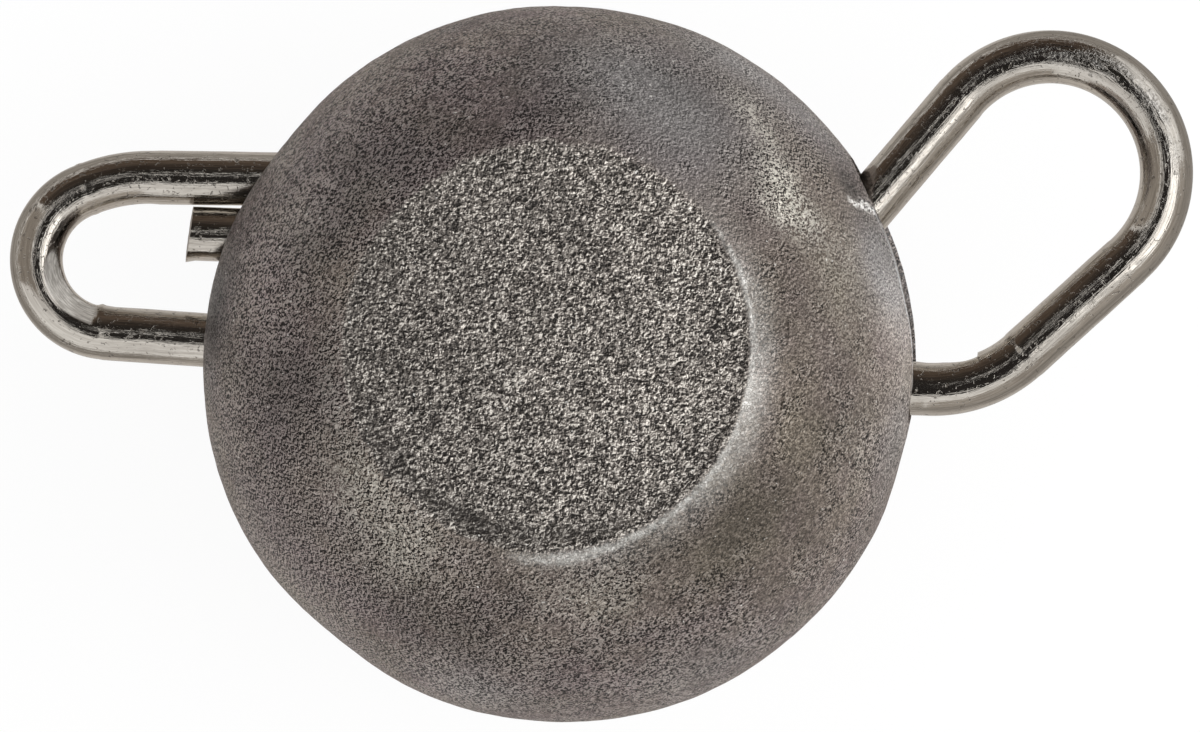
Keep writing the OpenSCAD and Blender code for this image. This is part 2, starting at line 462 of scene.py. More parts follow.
def make_ball():
    """The tumbled ball with the slot cut through it, and what its finish depends on."""
    points, faces = ball_mesh()
    ball = mesh_object("sinker_ball", points + CENTRE, faces)
    refine(ball, by_mouth)
    refine(ball, by_corner)
    shaped = shape_ball(vertices_of(ball) - CENTRE) + CENTRE
    ball.data.vertices.foreach_set("co", (shaped * MM).ravel())
    points, faces = slot_cutter()
    cutter = mesh_object("slot_cutter", points + CENTRE, faces)
    for obj in (ball, cutter):
        mend_normals(obj)
    cut = ball.modifiers.new("slot", "BOOLEAN")
    cut.operation, cut.solver, cut.object = "DIFFERENCE", "EXACT", cutter
    bpy.context.view_layer.update()
    seen = ball.evaluated_get(bpy.context.evaluated_depsgraph_get())
    mesh = bpy.data.meshes.new_from_object(seen)
    ball.modifiers.clear()
    ball.data = mesh
    bpy.data.objects.remove(cutter)
    paint_ball(ball)
    shade_by_angle(ball, 38)
    return ball


def paint_ball(ball):
    """Stores what the finish depends on at each point."""
    p = vertices_of(ball) - CENTRE
    grained = paint_front(ball, p)
    paint_skin(ball, p, grained)
    paint_mouths(ball, p)


def paint_front(ball, p):
    """The floor, its grain, the painted shade in the groove round it and the worn rim with its
    painted highlight. Returns where the floor is.
    """
    rho, way, _ = around(p)
    high = p[:, 2] > FRONT_Z
    floor = on_floor(p)
    ragged = 0.04 * grain(p, 0.2, 36) + 0.03 * grain(p, 0.09, 37)
    grained = np.maximum(floor, high * (1 - smooth(rho + ragged, 3.66, 3.78)))
    set_attribute(ball, "front_floor", grained)
    set_attribute(ball, "relief", floor_relief(p) * floor)
    # The groove's painted shade is darkest at the lower left
    groove_shade = bell(off_floor_mid(p) - FLOOR_R - 0.02, 0.19) * bell(turn_gap(way, -105), 60) * high
    set_attribute(ball, "groove_shade", np.clip(groove_shade * (0.8 + 0.8 * grain(p, 0.25, 38)), 0, 1))
    # The worn rim's crest holds a painted highlight, beaded and bright at the right, chalky at the
    # bottom, and a painted sheen glows outward from it
    bright = smooth(np.cos(np.radians(turn_gap(way, -26))), 0.25, 0.65)
    chalky = bell(turn_gap(way, -86), 18)
    beads = 1.1 + 0.8 * grain(p, 0.18, 23) + 1.0 * grain(p, 0.08, 39)
    crest = bell(rho - RIM_CREST - 0.03 * chalky, 0.07 + 0.05 * chalky) * beads
    glow = bell(np.clip(rho - RIM_CREST, 0, None), 0.34) * (rho > 3.74)
    glow = glow * bell(turn_gap(way, -14), 46) * (0.8 + 0.5 * grain(p, 0.4, 24))
    rub_and_highlight = np.maximum(crest * bright, 0.8 * glow)
    set_attribute(ball, "rim_rub_and_highlight", np.clip(rub_and_highlight, 0, 1) * high)
    return grained


def paint_skin(ball, p, grained):
    """The skin's flakes, painted sheen, roughness, lightness with painted light and shade, and hue,
    and the same for the floor.
    """
    rho, way, out = around(p)
    beige = bell(rho - 3.95, 0.25) * bell(turn_gap(way, -145), 32)
    flakes = np.clip(1.2 * patches(out, FLAKES, 3) + 0.3 * beige, 0, 1)
    set_attribute(ball, "flakes", flakes * (1 - grained))
    set_attribute(ball, "cool_sheen", np.clip(patches(out, COOL_SHEEN, 3), 0, 1) * (1 - grained))
    coarse, tone_and_shading, olive = skin_areas(out)
    floor_coarse = np.clip(0.55 + 0.07 * p[:, 0] - 0.06 * p[:, 1], 0, 1)
    # Painted light: the floor grows lighter to the right, and its tone also varies at random
    floor_tone_and_light = 1.0 + 0.05 * p[:, 0] + 0.01 * p[:, 1]
    floor_tone_and_light = floor_tone_and_light + 0.12 * grain(p, 1.0, 30) + 0.15 * grain(p, 0.35, 40)
    set_attribute(ball, "coarse", coarse * (1 - grained) + floor_coarse * grained)
    set_attribute(ball, "tone_and_shading", tone_and_shading * (1 - grained) + floor_tone_and_light * grained)
    set_attribute(ball, "olive", olive)


def paint_mouths(ball, p):
    """The slot's painted shade inside, the painted highlights on its lips, the bruised corner and
    the burrs, polished by the clip and painted pale as a glint.
    """
    x, y, z = p.T
    out = around(p)[2]
    depth = BALL_R - np.linalg.norm(p, axis=1)
    off_middle = np.hypot(np.clip(np.abs(y - SLOT_RISE / 2) - SLOT_RISE / 2, 0, None), z)
    inside = (off_middle < 1.6) * (np.abs(z) < 1.6)
    # Painted shade deep inside the slot
    set_attribute(ball, "slot_shade", smooth(depth, 0.07, 0.12) * inside)
    # A painted highlight runs along the front lip at both mouths, and along the rear lip at the
    # right one
    opening = front_flare(y) * np.where(x > 0, 1, LEFT_WEAR)
    lip = bell(z - SLOT_HALF - opening, 0.05) * (depth < 0.05) * np.where(x > 0, 1, 0.4)
    lip += 0.35 * bell(z + 0.76, 0.14) * (depth < 0.09) * (x > 4)
    along_lip = smooth(y, -0.3, 0.1) * (1 - smooth(y, 2.9, 3.4)) * (np.abs(x) > 4)
    patchy = np.clip(0.8 + 0.6 * grain(p, 0.2, 41), 0, 1)
    set_attribute(ball, "lip_highlight", lip * along_lip * patchy)
    near = np.linalg.norm(out * BALL_R - CORNER, axis=1)
    set_attribute(ball, "bruise", bell(near, 0.45) * (np.abs(x) > 4))
    # The burrs are burnished, and painted pale as a glint
    patchy = np.clip(0.75 + 1.2 * grain(p, 0.1, 25), 0, 1)
    set_attribute(ball, "burnished_glint", np.clip(burr_relief(out) / 0.012, 0, 1) * patchy)


# Wire

# Spacing of the wire's rings, the straight beyond which they are three times as far apart, and
# the number of points round each
RING_STEP, LONG_STRAIGHT, AROUND = 0.055, 9, 72
# How much each ring of an end's cap is shrunk
CAP_SHARES = [0.93, 0.8, 0.6, 0.35, 0.12]
# Matt scuffed bands of the wire: distance along it, spread, side in degrees (0 left of its run, 90
# front), spread, amount
SCUFFS = [
    (38.9, 1.7, 100, 26, 1.0), (36.9, 0.8, 112, 16, 0.5), (11.6, 1.4, 84, 18, 0.25),
    (8.6, 1.6, 76, 13, 0.15), (30.4, 0.5, 72, 20, 0.15), (33.0, 0.9, 80, 12, 0.2),
    (43.0, 1.2, 80, 12, 0.2), (16.0, 0.8, 70, 14, 0.3),
]
# Where the bending tools have pressed the wire flat: from, to, depth, rounding of each end, and
# the side pressed
PRESSES = [
    (30.85, 30.97, 0.08, 0.9, 0.03, 0), (13.3, 14.46, 0.075, 1.2, 0.05, 48),
    (37.0, 38.2, 0.012, 0.3, 0.3, 0),
]
# How much thinner in radius the bends are at least, and a tool mark's depth that shines fully
BEND_THIN, TOOL_MARK = 0.0125, 0.012
# The kink that the tool has raised beside the line eye, and the step where its notch ends, which
# fades from its peak on
KINK_AT, KINK_SPREAD, KINK_HEIGHT = 14.60, 0.11, 0.045
STEP_FROM, STEP_TO, STEP_PEAK, STEP_FADE, STEP_HEIGHT = 30.96, 31.02, 31.0, 0.4, 0.02
# The cut end: its burr's length and height, and how long, how deep and how steep its slant is
CUT_BURR_LEN, CUT_BURR_HEIGHT = 0.13, 0.035
SLANT_LEN, SLANT_DEPTH, SLANT_SLOPE = 0.35, 0.035, 0.05


def heading_way(degrees):
    return np.array([math.cos(math.radians(degrees)), math.sin(math.radians(degrees))])


def left_of(degrees):
    return np.array([-math.sin(math.radians(degrees)), math.cos(math.radians(degrees))])


def wire_path():
    """Stations from the hidden tail to the cut end: x, y, heading, distance, and whether bent."""
    steps = [
        ("straight", TAIL_LEN, 0), ("bend", BACK_R, BACK_TURN), ("straight", EYE_FLAT, 0),
        ("bend", NOSE_R, NOSE_TURN), ("straight", SPINE_LEFT + SPINE_RIGHT, 0),
        ("bend", SHOULDER_R, SHOULDER_TURN), ("straight", HOOK_LEG, 0),
        ("bend", HOOK_R, HOOK_TURN), ("straight", UPPER_LEN, 0),
        ("bend", KNEE_R, -KNEE_TURN), ("straight", SHORT_LEN, 0),
    ]
    # Walk back from the spine's left end to find where the tail starts
    place, heading = np.array([-SPINE_LEFT, 0.0]), 180.0
    for kind, size, turn in steps[3::-1]:
        place, heading = walked(place, heading, kind, size, -turn)[-1]
    heading -= 180
    stations, distance = [], 0.0
    for kind, size, turn in steps:
        run = walked(place, heading, kind, size, turn)
        length = size if kind == "straight" else abs(math.radians(turn)) * size
        for i, (q, h) in enumerate(run[:-1]):
            along = distance + length * i / (len(run) - 1)
            stations.append((q[0], q[1], h, along, kind == "bend"))
        place, heading = run[-1]
        distance += length
    stations.append((place[0], place[1], heading, distance, False))
    return stations


def walked(place, heading, kind, size, turn):
    """Places and headings along one straight or bend, both ends included."""
    if kind == "straight":
        n = max(2, int(size / (RING_STEP * (3 if size > LONG_STRAIGHT else 1))))
        way = heading_way(heading)
        return [(place + way * size * i / n, heading) for i in range(n + 1)]
    n = max(2, int(abs(math.radians(turn)) * size / RING_STEP))
    side = 1 if turn > 0 else -1
    middle = place + side * size * left_of(heading)
    headings = [heading + turn * i / n for i in range(n + 1)]
    return [(middle - side * size * left_of(h), h) for h in headings]


def side_of(rod):
    """Side of the wire that each point is on, in degrees: 0 left of its run, 90 front."""
    return np.degrees(np.arctan2(rod[:, 2], rod[:, 1]))


def wire_radius(rod, bent):
    """Radius at each point with drawn grain and tool marks, and how much a tool has pressed it."""
    drawn = rod / np.array([9.0, 1, 1])
    r = WIRE_R - 0.004 + 0.0035 * grain(drawn, 0.16, 31) + 0.003 * grain(drawn, 0.07, 32)
    r += 0.0045 * grain(rod, 0.9, 33) + 0.002 * grain(rod, 0.2, 34)
    r = np.minimum(r, WIRE_R - BEND_THIN * bent)
    s, side, full = rod[:, 0], rod[:, 1] / WIRE_R, r
    for start, stop, depth, rise, fall, pressed in PRESSES:
        press = smooth(s, start - rise, start) * (1 - smooth(s, stop, stop + fall))
        facing = np.cos(np.radians(turn_gap(side_of(rod), pressed)))
        limit = (WIRE_R - depth * press) / np.clip(facing, 0.05, None)
        r = np.where((facing > 0.3) & (press > 0), np.minimum(r, limit), r)
    tooled = np.clip((full - r) / TOOL_MARK, 0, 1)
    kink = bell(s - KINK_AT, KINK_SPREAD) * smooth(side, 0.5, 1)
    fade = np.exp(-np.clip(s - STEP_PEAK, 0, None) / STEP_FADE)
    step = smooth(s, STEP_FROM, STEP_TO) * fade * smooth(side, 0.35, 0.9)
    r = r + KINK_HEIGHT * kink + STEP_HEIGHT * step
    burr = smooth(s, s[-1] - CUT_BURR_LEN, s[-1]) * smooth(side, 0.75, 1)
    return r + CUT_BURR_HEIGHT * burr, tooled


def end_cap(ring, rod_ring, base, new, first):
    """Rings that shrink to a point and close an end of the wire, whose first ring starts at base.

    The new points are numbered from new on. Gives them, their places on the rod, and the faces.
    """
    centre = ring.mean(0)
    points, places, faces = [], [], []
    pairs = [(i, (i + 1) % AROUND) for i in range(AROUND)]
    for share in CAP_SHARES:
        shrunk = centre + (ring - centre) * share
        rough = 0.012 * grain(shrunk, 0.12, 35)
        points.extend(shrunk + rough[:, None] * [1, 0, 0])
        places.extend(rod_ring * [1, share, share])
        for i, j in pairs:
            a, b, c, d = base + i, base + j, new + j, new + i
            faces.append((b, a, d, c) if first else (a, b, c, d))
        base, new = new, new + AROUND
    points.append(centre)
    places.append(rod_ring.mean(0))
    for i, j in pairs:
        a, b = base + i, base + j
        faces.append((b, a, new) if first else (a, b, new))
    return np.array(points), np.array(places), faces


def make_wire():
    """The clip as one drawn and bent wire, and what its finish depends on."""
    stations = wire_path()
    angle = np.arange(AROUND) * 2 * math.pi / AROUND
    middle, unit, rod = [], [], []
    for x, y, heading, s, _ in stations:
        middle.append(np.tile([x, y, 0.0], (AROUND, 1)))
        left = np.append(left_of(heading), 0.0)
        unit.append(np.outer(np.cos(angle), left) + np.outer(np.sin(angle), [0, 0, 1]))
        rod.append(np.stack([np.full(AROUND, s), np.cos(angle), np.sin(angle)], 1))
    middle, unit, rod = np.concatenate(middle), np.concatenate(unit), np.concatenate(rod)
    rod[:, 1:] *= WIRE_R
    bent = np.repeat([station[4] for station in stations], AROUND)
    r, tooled = wire_radius(rod, bent)
    p = middle + unit * r[:, None]
    # The cut end slants back to its front and its top
    s, side, front = rod[:, 0], rod[:, 1] / WIRE_R, rod[:, 2] / WIRE_R
    headings = np.radians(np.repeat([station[2] for station in stations], AROUND))
    forward = np.stack([np.cos(headings), np.sin(headings), 0 * headings], 1)
    end = smooth(s, s[-1] - SLANT_LEN, s[-1])
    p -= forward * (end * (SLANT_DEPTH + SLANT_SLOPE * front - SLANT_SLOPE * side))[:, None]
    faces = tube_faces(len(stations), AROUND)
    tube = len(p)
    for base, first in ((0, True), (tube - AROUND, False)):
        own = slice(base, base + AROUND)
        cap, places, cap_faces = end_cap(p[own], rod[own], base, len(p), first)
        p, rod = np.vstack([p, cap]), np.vstack([rod, places])
        faces += cap_faces
    wire = mesh_object("spring_wire", p + CENTRE, faces)
    mend_normals(wire)
    set_attribute(wire, "rod", rod * MM)
    set_attribute(wire, "cut_face", np.arange(len(p)) >= tube)
    set_attribute(wire, "tooled", np.append(tooled, np.zeros(len(p) - tube)))
    scuff = sum(
        amount * bell(rod[:, 0] - along, length) * bell(turn_gap(side_of(rod), middle), spread)
        for along, length, middle, spread, amount in SCUFFS
    )
    set_attribute(wire, "scuff", np.clip(scuff, 0, 1))
    shade_by_angle(wire, 40)
    return wire


# Materials

class Nodes:
    """A short way to write a node tree."""

    def __init__(self, name):
        self.material = bpy.data.materials.new(name)
        self.material.use_nodes = True
        self.tree = self.material.node_tree
        self.tree.nodes.clear()

    def add(self, kind, inputs=None, **settings):
        """A node with its settings, and its inputs by name or number, from a value or a socket."""
        made = self.tree.nodes.new(kind)
        for key, value in settings.items():
            setattr(made, key, value)
        for key, value in (inputs or {}).items():
            if isinstance(value, bpy.types.NodeSocket):
                self.tree.links.new(value, made.inputs[key])
            else:
                made.inputs[key].default_value = value
        return made

    def attribute(self, name, output="Fac"):
        return self.add("ShaderNodeAttribute", attribute_name=name).outputs[output]

    def noise(self, vector, scale, detail=2.0, rough=0.5, distort=0.0):
        made = self.add("ShaderNodeTexNoise", {
            "Vector": vector, "Scale": scale, "Detail": detail, "Roughness": rough,
            "Distortion": distort,
        })
        return made.outputs["Fac"]

    def span(self, value, low, high, to_low=0.0, to_high=1.0):
        """The value's range moved to another range, which it doesn't leave."""
        return self.add("ShaderNodeMapRange", {
            "Value": value, "From Min": low, "From Max": high, "To Min": to_low, "To Max": to_high,
        }).outputs["Result"]

    def math(self, operation, a, b=0.0):
        return self.add("ShaderNodeMath", {0: a, 1: b}, operation=operation).outputs[0]

    def times(self, a, b):
        return self.math("MULTIPLY", a, b)

    def plus(self, a, b):
        return self.math("ADD", a, b)

    def moved(self, vector, way):
        return self.add("ShaderNodeVectorMath", {0: vector, 1: way}, operation="ADD").outputs[0]

    def stretched(self, vector, scale):
        return self.add("ShaderNodeMapping", {"Vector": vector, "Scale": scale}).outputs[0]

    def grey(self, value):
        """A grey colour from one number."""
        return self.add("ShaderNodeCombineColor", {0: value, 1: value, 2: value}).outputs[0]

    def mix(self, factor, a, b, blend="MIX"):
        inputs = {0: factor, 6: a, 7: b}
        return self.add("ShaderNodeMix", inputs, data_type="RGBA", blend_type=blend).outputs[2]

    def peak(self, value, at, half):
        """1 where the value is at the given one, falling to 0 at the half width to each side."""
        gap = self.math("ABSOLUTE", self.math("SUBTRACT", value, at))
        return self.math("MAXIMUM", self.math("SUBTRACT", 1.0, self.math("DIVIDE", gap, half)), 0.0)

    def bump(self, height, distance):
        inputs = {"Height": height, "Distance": distance}
        return self.add("ShaderNodeBump", inputs).outputs["Normal"]

    def end(self, shader):
        """Makes the node's first output the surface of the material, which it returns."""
        out = self.add("ShaderNodeOutputMaterial")
        self.tree.links.new(shader.outputs[0], out.inputs[0])
        return self.material

    def finish(self, inputs):
        return self.end(self.add("ShaderNodeBsdfPrincipled", inputs))

    def glow(self, colour):
        """An even surface of the studio that reflections show in this colour."""
        return self.end(self.add("ShaderNodeEmission", {"Color": colour, "Strength": 1.0}))


def rgb(r, g, b):
    return (r, g, b, 1.0)


# Scales of the ball's noises, in bumps to the metre, and how far the cells are bent, in metres
CELLS, CELL_BENDS, CELL_BEND = 12000.0, 7000.0, 1.2e-4
WORMS, CURLS, GLINT_SPECKS, GRIT, CLUMPS, FINE = 11000, 9000, 11000, 12500, 4200, 17000
# Way from the painted shade of the skin's small grains to their painted light, in metres
FINE_LIGHT_NUDGE = (-1.8e-5, 1.8e-5, 0.0)
# Colours of the ball's skin, of what wear has left on it, and of the sheen, highlights, glints and
# shade painted on it
PURPLE_SKIN = rgb(0.189, 0.146, 0.143)
OLIVE_SKIN = rgb(0.220, 0.186, 0.148)
# Painted cool grey sheen
COOL_SHEEN_SKIN = rgb(0.250, 0.238, 0.235)
RIDGE = rgb(0.47, 0.445, 0.42)
FLAKE = rgb(0.90, 0.86, 0.77)
# Painted highlight on the worn rim
RUBBED_RIM_HIGHLIGHT = rgb(0.84, 0.82, 0.78)
# Painted highlight along the slot's lips
LIP_HIGHLIGHT = rgb(0.66, 0.68, 0.70)
BRUISE = rgb(0.075, 0.072, 0.068)
# Painted glints on small specks
SPECK_GLINT = rgb(0.90, 0.88, 0.84)
# Burnished burrs, painted pale as a glint
BURR_GLINT = rgb(0.97, 0.95, 0.91)
# Painted shade inside the slot
SLOT_SHADE = rgb(0.055, 0.048, 0.043)
# Colours of the front's floor, with a painted glint and the painted shade of the groove round it
HOLLOW = rgb(0.024, 0.021, 0.019)
CREST = rgb(0.345, 0.31, 0.28)
GLINT = rgb(0.86, 0.81, 0.74)
GROOVE_SHADE = rgb(0.060, 0.053, 0.048)
# How high the ball's grain and the floor's grit stand, in metres
SKIN_BUMP, FLOOR_BUMP = 6.0e-5, 1.2e-4


def skin_grain(m, place, worm):
    """The skin's pits and ridges, and its smallest grain with painted light and shade: dark below 0,
    pale above it.
    """
    shift = m.add("ShaderNodeTexNoise", {"Vector": place, "Scale": CELL_BENDS, "Detail": 1.0})
    shift = m.add(
        "ShaderNodeVectorMath", {0: shift.outputs["Color"], "Scale": CELL_BEND}, operation="SCALE",
    )
    bent = m.moved(place, shift.outputs[0])
    cell = m.add("ShaderNodeTexVoronoi", {"Vector": bent, "Scale": CELLS}).outputs["Distance"]
    ridges = m.span(cell, 0.30, 0.66, -1, 1)
    strokes = m.span(worm, 0.47, 0.59, -1, 1.6)
    curls = m.times(m.peak(m.noise(place, CURLS, 0, 0.5, 1.3), 0.50, 0.07), 1.3)
    pitted = m.plus(m.times(ridges, 0.25), m.times(strokes, 0.35))
    pitted = m.plus(pitted, m.times(curls, 0.55))
    # The smallest grain is painted as if lit: painted light to the upper left of each grain, painted
    # shade to its lower right
    here = m.noise(place, FINE, 1, 0.5, 0.7)
    there = m.noise(m.moved(place, FINE_LIGHT_NUDGE), FINE, 1, 0.5, 0.7)
    slope = m.math("SUBTRACT", here, there)
    lit_grain = m.plus(m.span(slope, -0.16, 0.16, -1.6, 1.6), m.span(slope, 0.06, 0.17, 0, 1.2))
    return pitted, lit_grain


def skin_colour(m, worm, pitted, lit_grain):
    """Brown skin with small pits between pale ridges, strong where it is coarse, and its wear, with
    painted highlights on the rim and the lips.
    """
    coarse = m.attribute("coarse")
    body = m.mix(m.attribute("olive"), PURPLE_SKIN, OLIVE_SKIN)
    # Painted cool grey sheen
    body = m.mix(m.attribute("cool_sheen"), body, COOL_SHEEN_SKIN)
    amount = m.span(m.math("POWER", coarse, 2.2), 0, 1, 0.32, 2.3)
    shade = m.plus(m.times(m.plus(pitted, lit_grain), amount), m.span(coarse, 0, 1, 1.03, 0.92))
    shade = m.math("MAXIMUM", shade, 0.08)
    body = m.mix(1.0, body, m.grey(m.math("MINIMUM", shade, 2.8)), "MULTIPLY")
    body = m.mix(m.span(shade, 1.3, 3.2, 0, 0.6), body, RIDGE)
    # Cream flakes, more of them where the grain's painted light is strongest
    flake = m.math("MAXIMUM", m.span(worm, 0.54, 0.58), m.span(lit_grain, 0.5, 1.4))
    body = m.mix(m.times(flake, m.attribute("flakes")), body, FLAKE)
    # Painted highlight on the worn rim
    rubbed_and_lit = m.times(m.attribute("rim_rub_and_highlight"), m.span(worm, 0.42, 0.58, 0.62, 1.12))
    body = m.mix(m.math("MINIMUM", rubbed_and_lit, 1.0), body, RUBBED_RIM_HIGHLIGHT)
    body = m.mix(m.times(m.attribute("bruise"), 0.6), body, BRUISE)
    # Painted highlight along the slot's lips
    return m.mix(m.times(m.attribute("lip_highlight"), 0.75), body, LIP_HIGHLIGHT)


def floor_colour(m, place, grit, lit_grain):
    """The front's floor: pale crests on dark hollows with painted glints, and painted shade in the
    groove round it.
    """
    clump = m.noise(place, CLUMPS, 1, 0.5, 0.5)
    # The floor's crests take the grain's painted light and shade too
    crest = m.plus(m.span(grit, 0.43, 0.57, -0.82, 0.82), m.times(lit_grain, 0.62))
    mounds = m.plus(m.times(m.attribute("relief"), 0.4), m.span(clump, 0.3, 0.7, -0.3, 0.3))
    crest = m.times(m.plus(crest, mounds), m.span(m.attribute("coarse"), 0, 1, 0.80, 1.13))
    front = m.mix(m.span(crest, -1.15, 1.05), HOLLOW, CREST)
    # Painted glints on the floor's grains
    front = m.mix(m.span(crest, 0.92, 1.45), front, GLINT)
    # Painted shade in the groove round the floor
    return m.mix(m.times(m.attribute("groove_shade"), 0.65), front, GROOVE_SHADE)


def sintered_metal():
    m = Nodes("sintered_metal")
    place = m.add("ShaderNodeTexCoord").outputs["Object"]
    floor, coarse = m.attribute("front_floor"), m.attribute("coarse")
    burnished_glint = m.attribute("burnished_glint")
    worm = m.noise(place, WORMS, 0, 0.5, 1.8)
    grit = m.noise(place, GRIT, 0, 0.5, 0.9)
    glint_speck = m.span(m.noise(place, GLINT_SPECKS, 1, 0.5), 0.755, 0.785)
    pitted, lit_grain = skin_grain(m, place, worm)
    colour = m.mix(floor, skin_colour(m, worm, pitted, lit_grain), floor_colour(m, place, grit, lit_grain))
    # Lightness, which holds painted light and shade along with the tone
    colour = m.mix(1.0, colour, m.grey(m.attribute("tone_and_shading")), "MULTIPLY")
    # Painted shade inside the slot
    colour = m.mix(m.attribute("slot_shade"), colour, SLOT_SHADE)
    # Painted glints on small specks
    colour = m.mix(m.times(glint_speck, 0.9), colour, SPECK_GLINT)
    # Burnished burrs, painted pale as a glint
    colour = m.mix(m.times(burnished_glint, m.span(grit, 0.42, 0.50)), colour, BURR_GLINT)
    rough = m.math("SUBTRACT", m.span(coarse, 0, 1, 0.46, 0.42), m.times(burnished_glint, 0.12))
    skin_bump = m.bump(m.times(pitted, m.span(coarse, 0, 1, 0.4, 0.8)), SKIN_BUMP)
    bumps = {0: floor, 4: skin_bump, 5: m.bump(grit, FLOOR_BUMP)}
    normal = m.add("ShaderNodeMix", bumps, data_type="VECTOR")
    return m.finish({
        "Base Color": colour, "Metallic": m.span(burnished_glint, 0, 0.6, 0.55, 0.0), "Roughness": rough,
        "Normal": normal.outputs[1],
    })


# How far the wire's noises are stretched along it, from the finest lines to the broad cloudiness
DRAWN, BRUSHED, CLOUDY = (0.03, 1, 1), (0.12, 1, 1), (0.25, 1, 1)
# Scales of the wire's noises, in bumps to the metre
STREAKS, HAIRS, CLOUDS, MOTTLES, PITS, BLOTCHES = 15000, 30000, 2500, 19000, 11000, 7000
# Colours of the wire: between its lines and on them, clouded, in pits, scuffed, tooled, and cut
WIRE_DARK, WIRE_PALE = rgb(0.42, 0.386, 0.342), rgb(0.75, 0.705, 0.64)
WIRE_CLOUD, WIRE_PIT = rgb(0.37, 0.335, 0.30), rgb(0.10, 0.09, 0.08)
SCUFF_DARK, SCUFF_PALE = rgb(0.07, 0.065, 0.06), rgb(0.72, 0.70, 0.67)
TOOLED_DARK, TOOLED_PALE = rgb(0.46, 0.435, 0.40), rgb(0.92, 0.89, 0.84)
CUT_END = rgb(0.22, 0.18, 0.15)
WIRE_BUMP = 1.0e-5


def spring_steel():
    m = Nodes("spring_steel")
    rod = m.attribute("rod", "Vector")
    scuff, cut_face, tooled = (m.attribute(name) for name in ("scuff", "cut_face", "tooled"))
    streak = m.noise(m.stretched(rod, DRAWN), STREAKS, 3, 0.7)
    hair = m.noise(m.stretched(rod, BRUSHED), HAIRS, 2, 0.6)
    soft = m.stretched(rod, CLOUDY)
    wide = m.noise(soft, CLOUDS, 2, 0.5)
    mottle = m.noise(rod, MOTTLES, 2, 0.65, 0.8)
    pits = m.span(m.noise(rod, PITS, 2, 0.6, 0.6), 0.62, 0.70)
    line = m.plus(m.times(streak, 0.65), m.times(hair, 0.35))
    colour = m.mix(m.span(line, 0.34, 0.66), WIRE_DARK, WIRE_PALE)
    colour = m.mix(m.times(m.span(wide, 0.45, 0.75), 0.3), colour, WIRE_CLOUD)
    colour = m.mix(m.times(pits, 0.6), colour, WIRE_PIT)
    speckled = m.mix(m.span(mottle, 0.38, 0.64), SCUFF_DARK, SCUFF_PALE)
    blotch = m.times(scuff, m.span(m.noise(soft, BLOTCHES, 2, 0.6), 0.35, 0.55))
    colour = m.mix(m.times(blotch, 0.85), colour, speckled)
    marks = m.mix(m.span(hair, 0.38, 0.62), TOOLED_DARK, TOOLED_PALE)
    colour = m.mix(m.times(tooled, 0.7), colour, marks)
    colour = m.mix(m.times(cut_face, 0.85), colour, CUT_END)
    rough = m.plus(m.span(wide, 0.3, 0.7, 0.05, 0.11), m.times(blotch, 0.16))
    rough = m.plus(rough, m.times(cut_face, 0.25))
    rough = m.plus(rough, m.times(tooled, 0.32))
    height = m.math("SUBTRACT", m.times(line, 0.8), m.times(pits, 0.35))
    height = m.plus(height, m.times(mottle, m.times(blotch, 1.6)))
    height = m.plus(height, m.times(mottle, m.times(cut_face, 3.0)))
    return m.finish({
        "Base Color": colour, "Metallic": m.span(tooled, 0, 1, 1, 0.55), "Roughness": rough,
        "Normal": m.bump(height, WIRE_BUMP),
    })


# Studio

# The photograph's frame, its scale, and where the ball's middle is in it
PHOTO_W, PHOTO_H = 1200, 732
PX_PER_MM = 54.5
BALL_PX = (560.35, 364.27)
# Way from the object to the camera, and how many degrees the slot is turned in the photograph
VIEW_WAY = (0.0545, -0.0506, 0.9972)
VIEW_TURN = 3.90
# Lens and sensor in millimetres: a long lens, because the photograph shows no perspective
LENS, SENSOR = 1000, 36


def image_axes():
    """Right, up and towards-camera directions of the photograph in the model's frame."""
    back = Vector(VIEW_WAY).normalized()
    along = (Vector((1, 0, 0)) - back * back.x).normalized()
    over = back.cross(along)
    turn = math.radians(VIEW_TURN)
    right = along * math.cos(turn) + over * math.sin(turn)
    up = over * math.cos(turn) - along * math.sin(turn)
    return right, up, back


def make_camera():
    right, up, back = image_axes()
    data = bpy.data.cameras.new("camera")
    data.lens, data.sensor_width = LENS, SENSOR
    width = PHOTO_W / PX_PER_MM * MM
    distance = width * data.lens / data.sensor_width
    aim = Vector(CENTRE * MM)
    aim += right * ((PHOTO_W / 2 - BALL_PX[0]) / PX_PER_MM * MM)
    aim += up * ((BALL_PX[1] - PHOTO_H / 2) / PX_PER_MM * MM)
    data.clip_start, data.clip_end = 0.01, 10
    camera = bpy.data.objects.new("camera", data)
    axes = Matrix((right, up, back)).transposed().to_4x4()
    camera.matrix_world = Matrix.Translation(aim + back * distance) @ axes
    bpy.context.scene.collection.objects.link(camera)
    bpy.context.scene.camera = camera


def direction(azimuth, polar):
    """Direction at an azimuth round the photograph (0 right, 90 up) and an angle off the camera."""
    right, up, back = image_axes()
    a, t = math.radians(azimuth), math.radians(polar)
    over = right * (math.cos(a) * math.sin(t)) + up * (math.sin(a) * math.sin(t))
    return over + back * math.cos(t)


def put_card(card, colour):
    """Makes the object a card of the studio that only reflections show."""
    m = Nodes(card.name)
    source = m.attribute(colour, "Color") if isinstance(colour, str) else colour
    card.data.materials.append(m.glow(source))
    card.visible_camera = card.visible_diffuse = card.visible_shadow = False


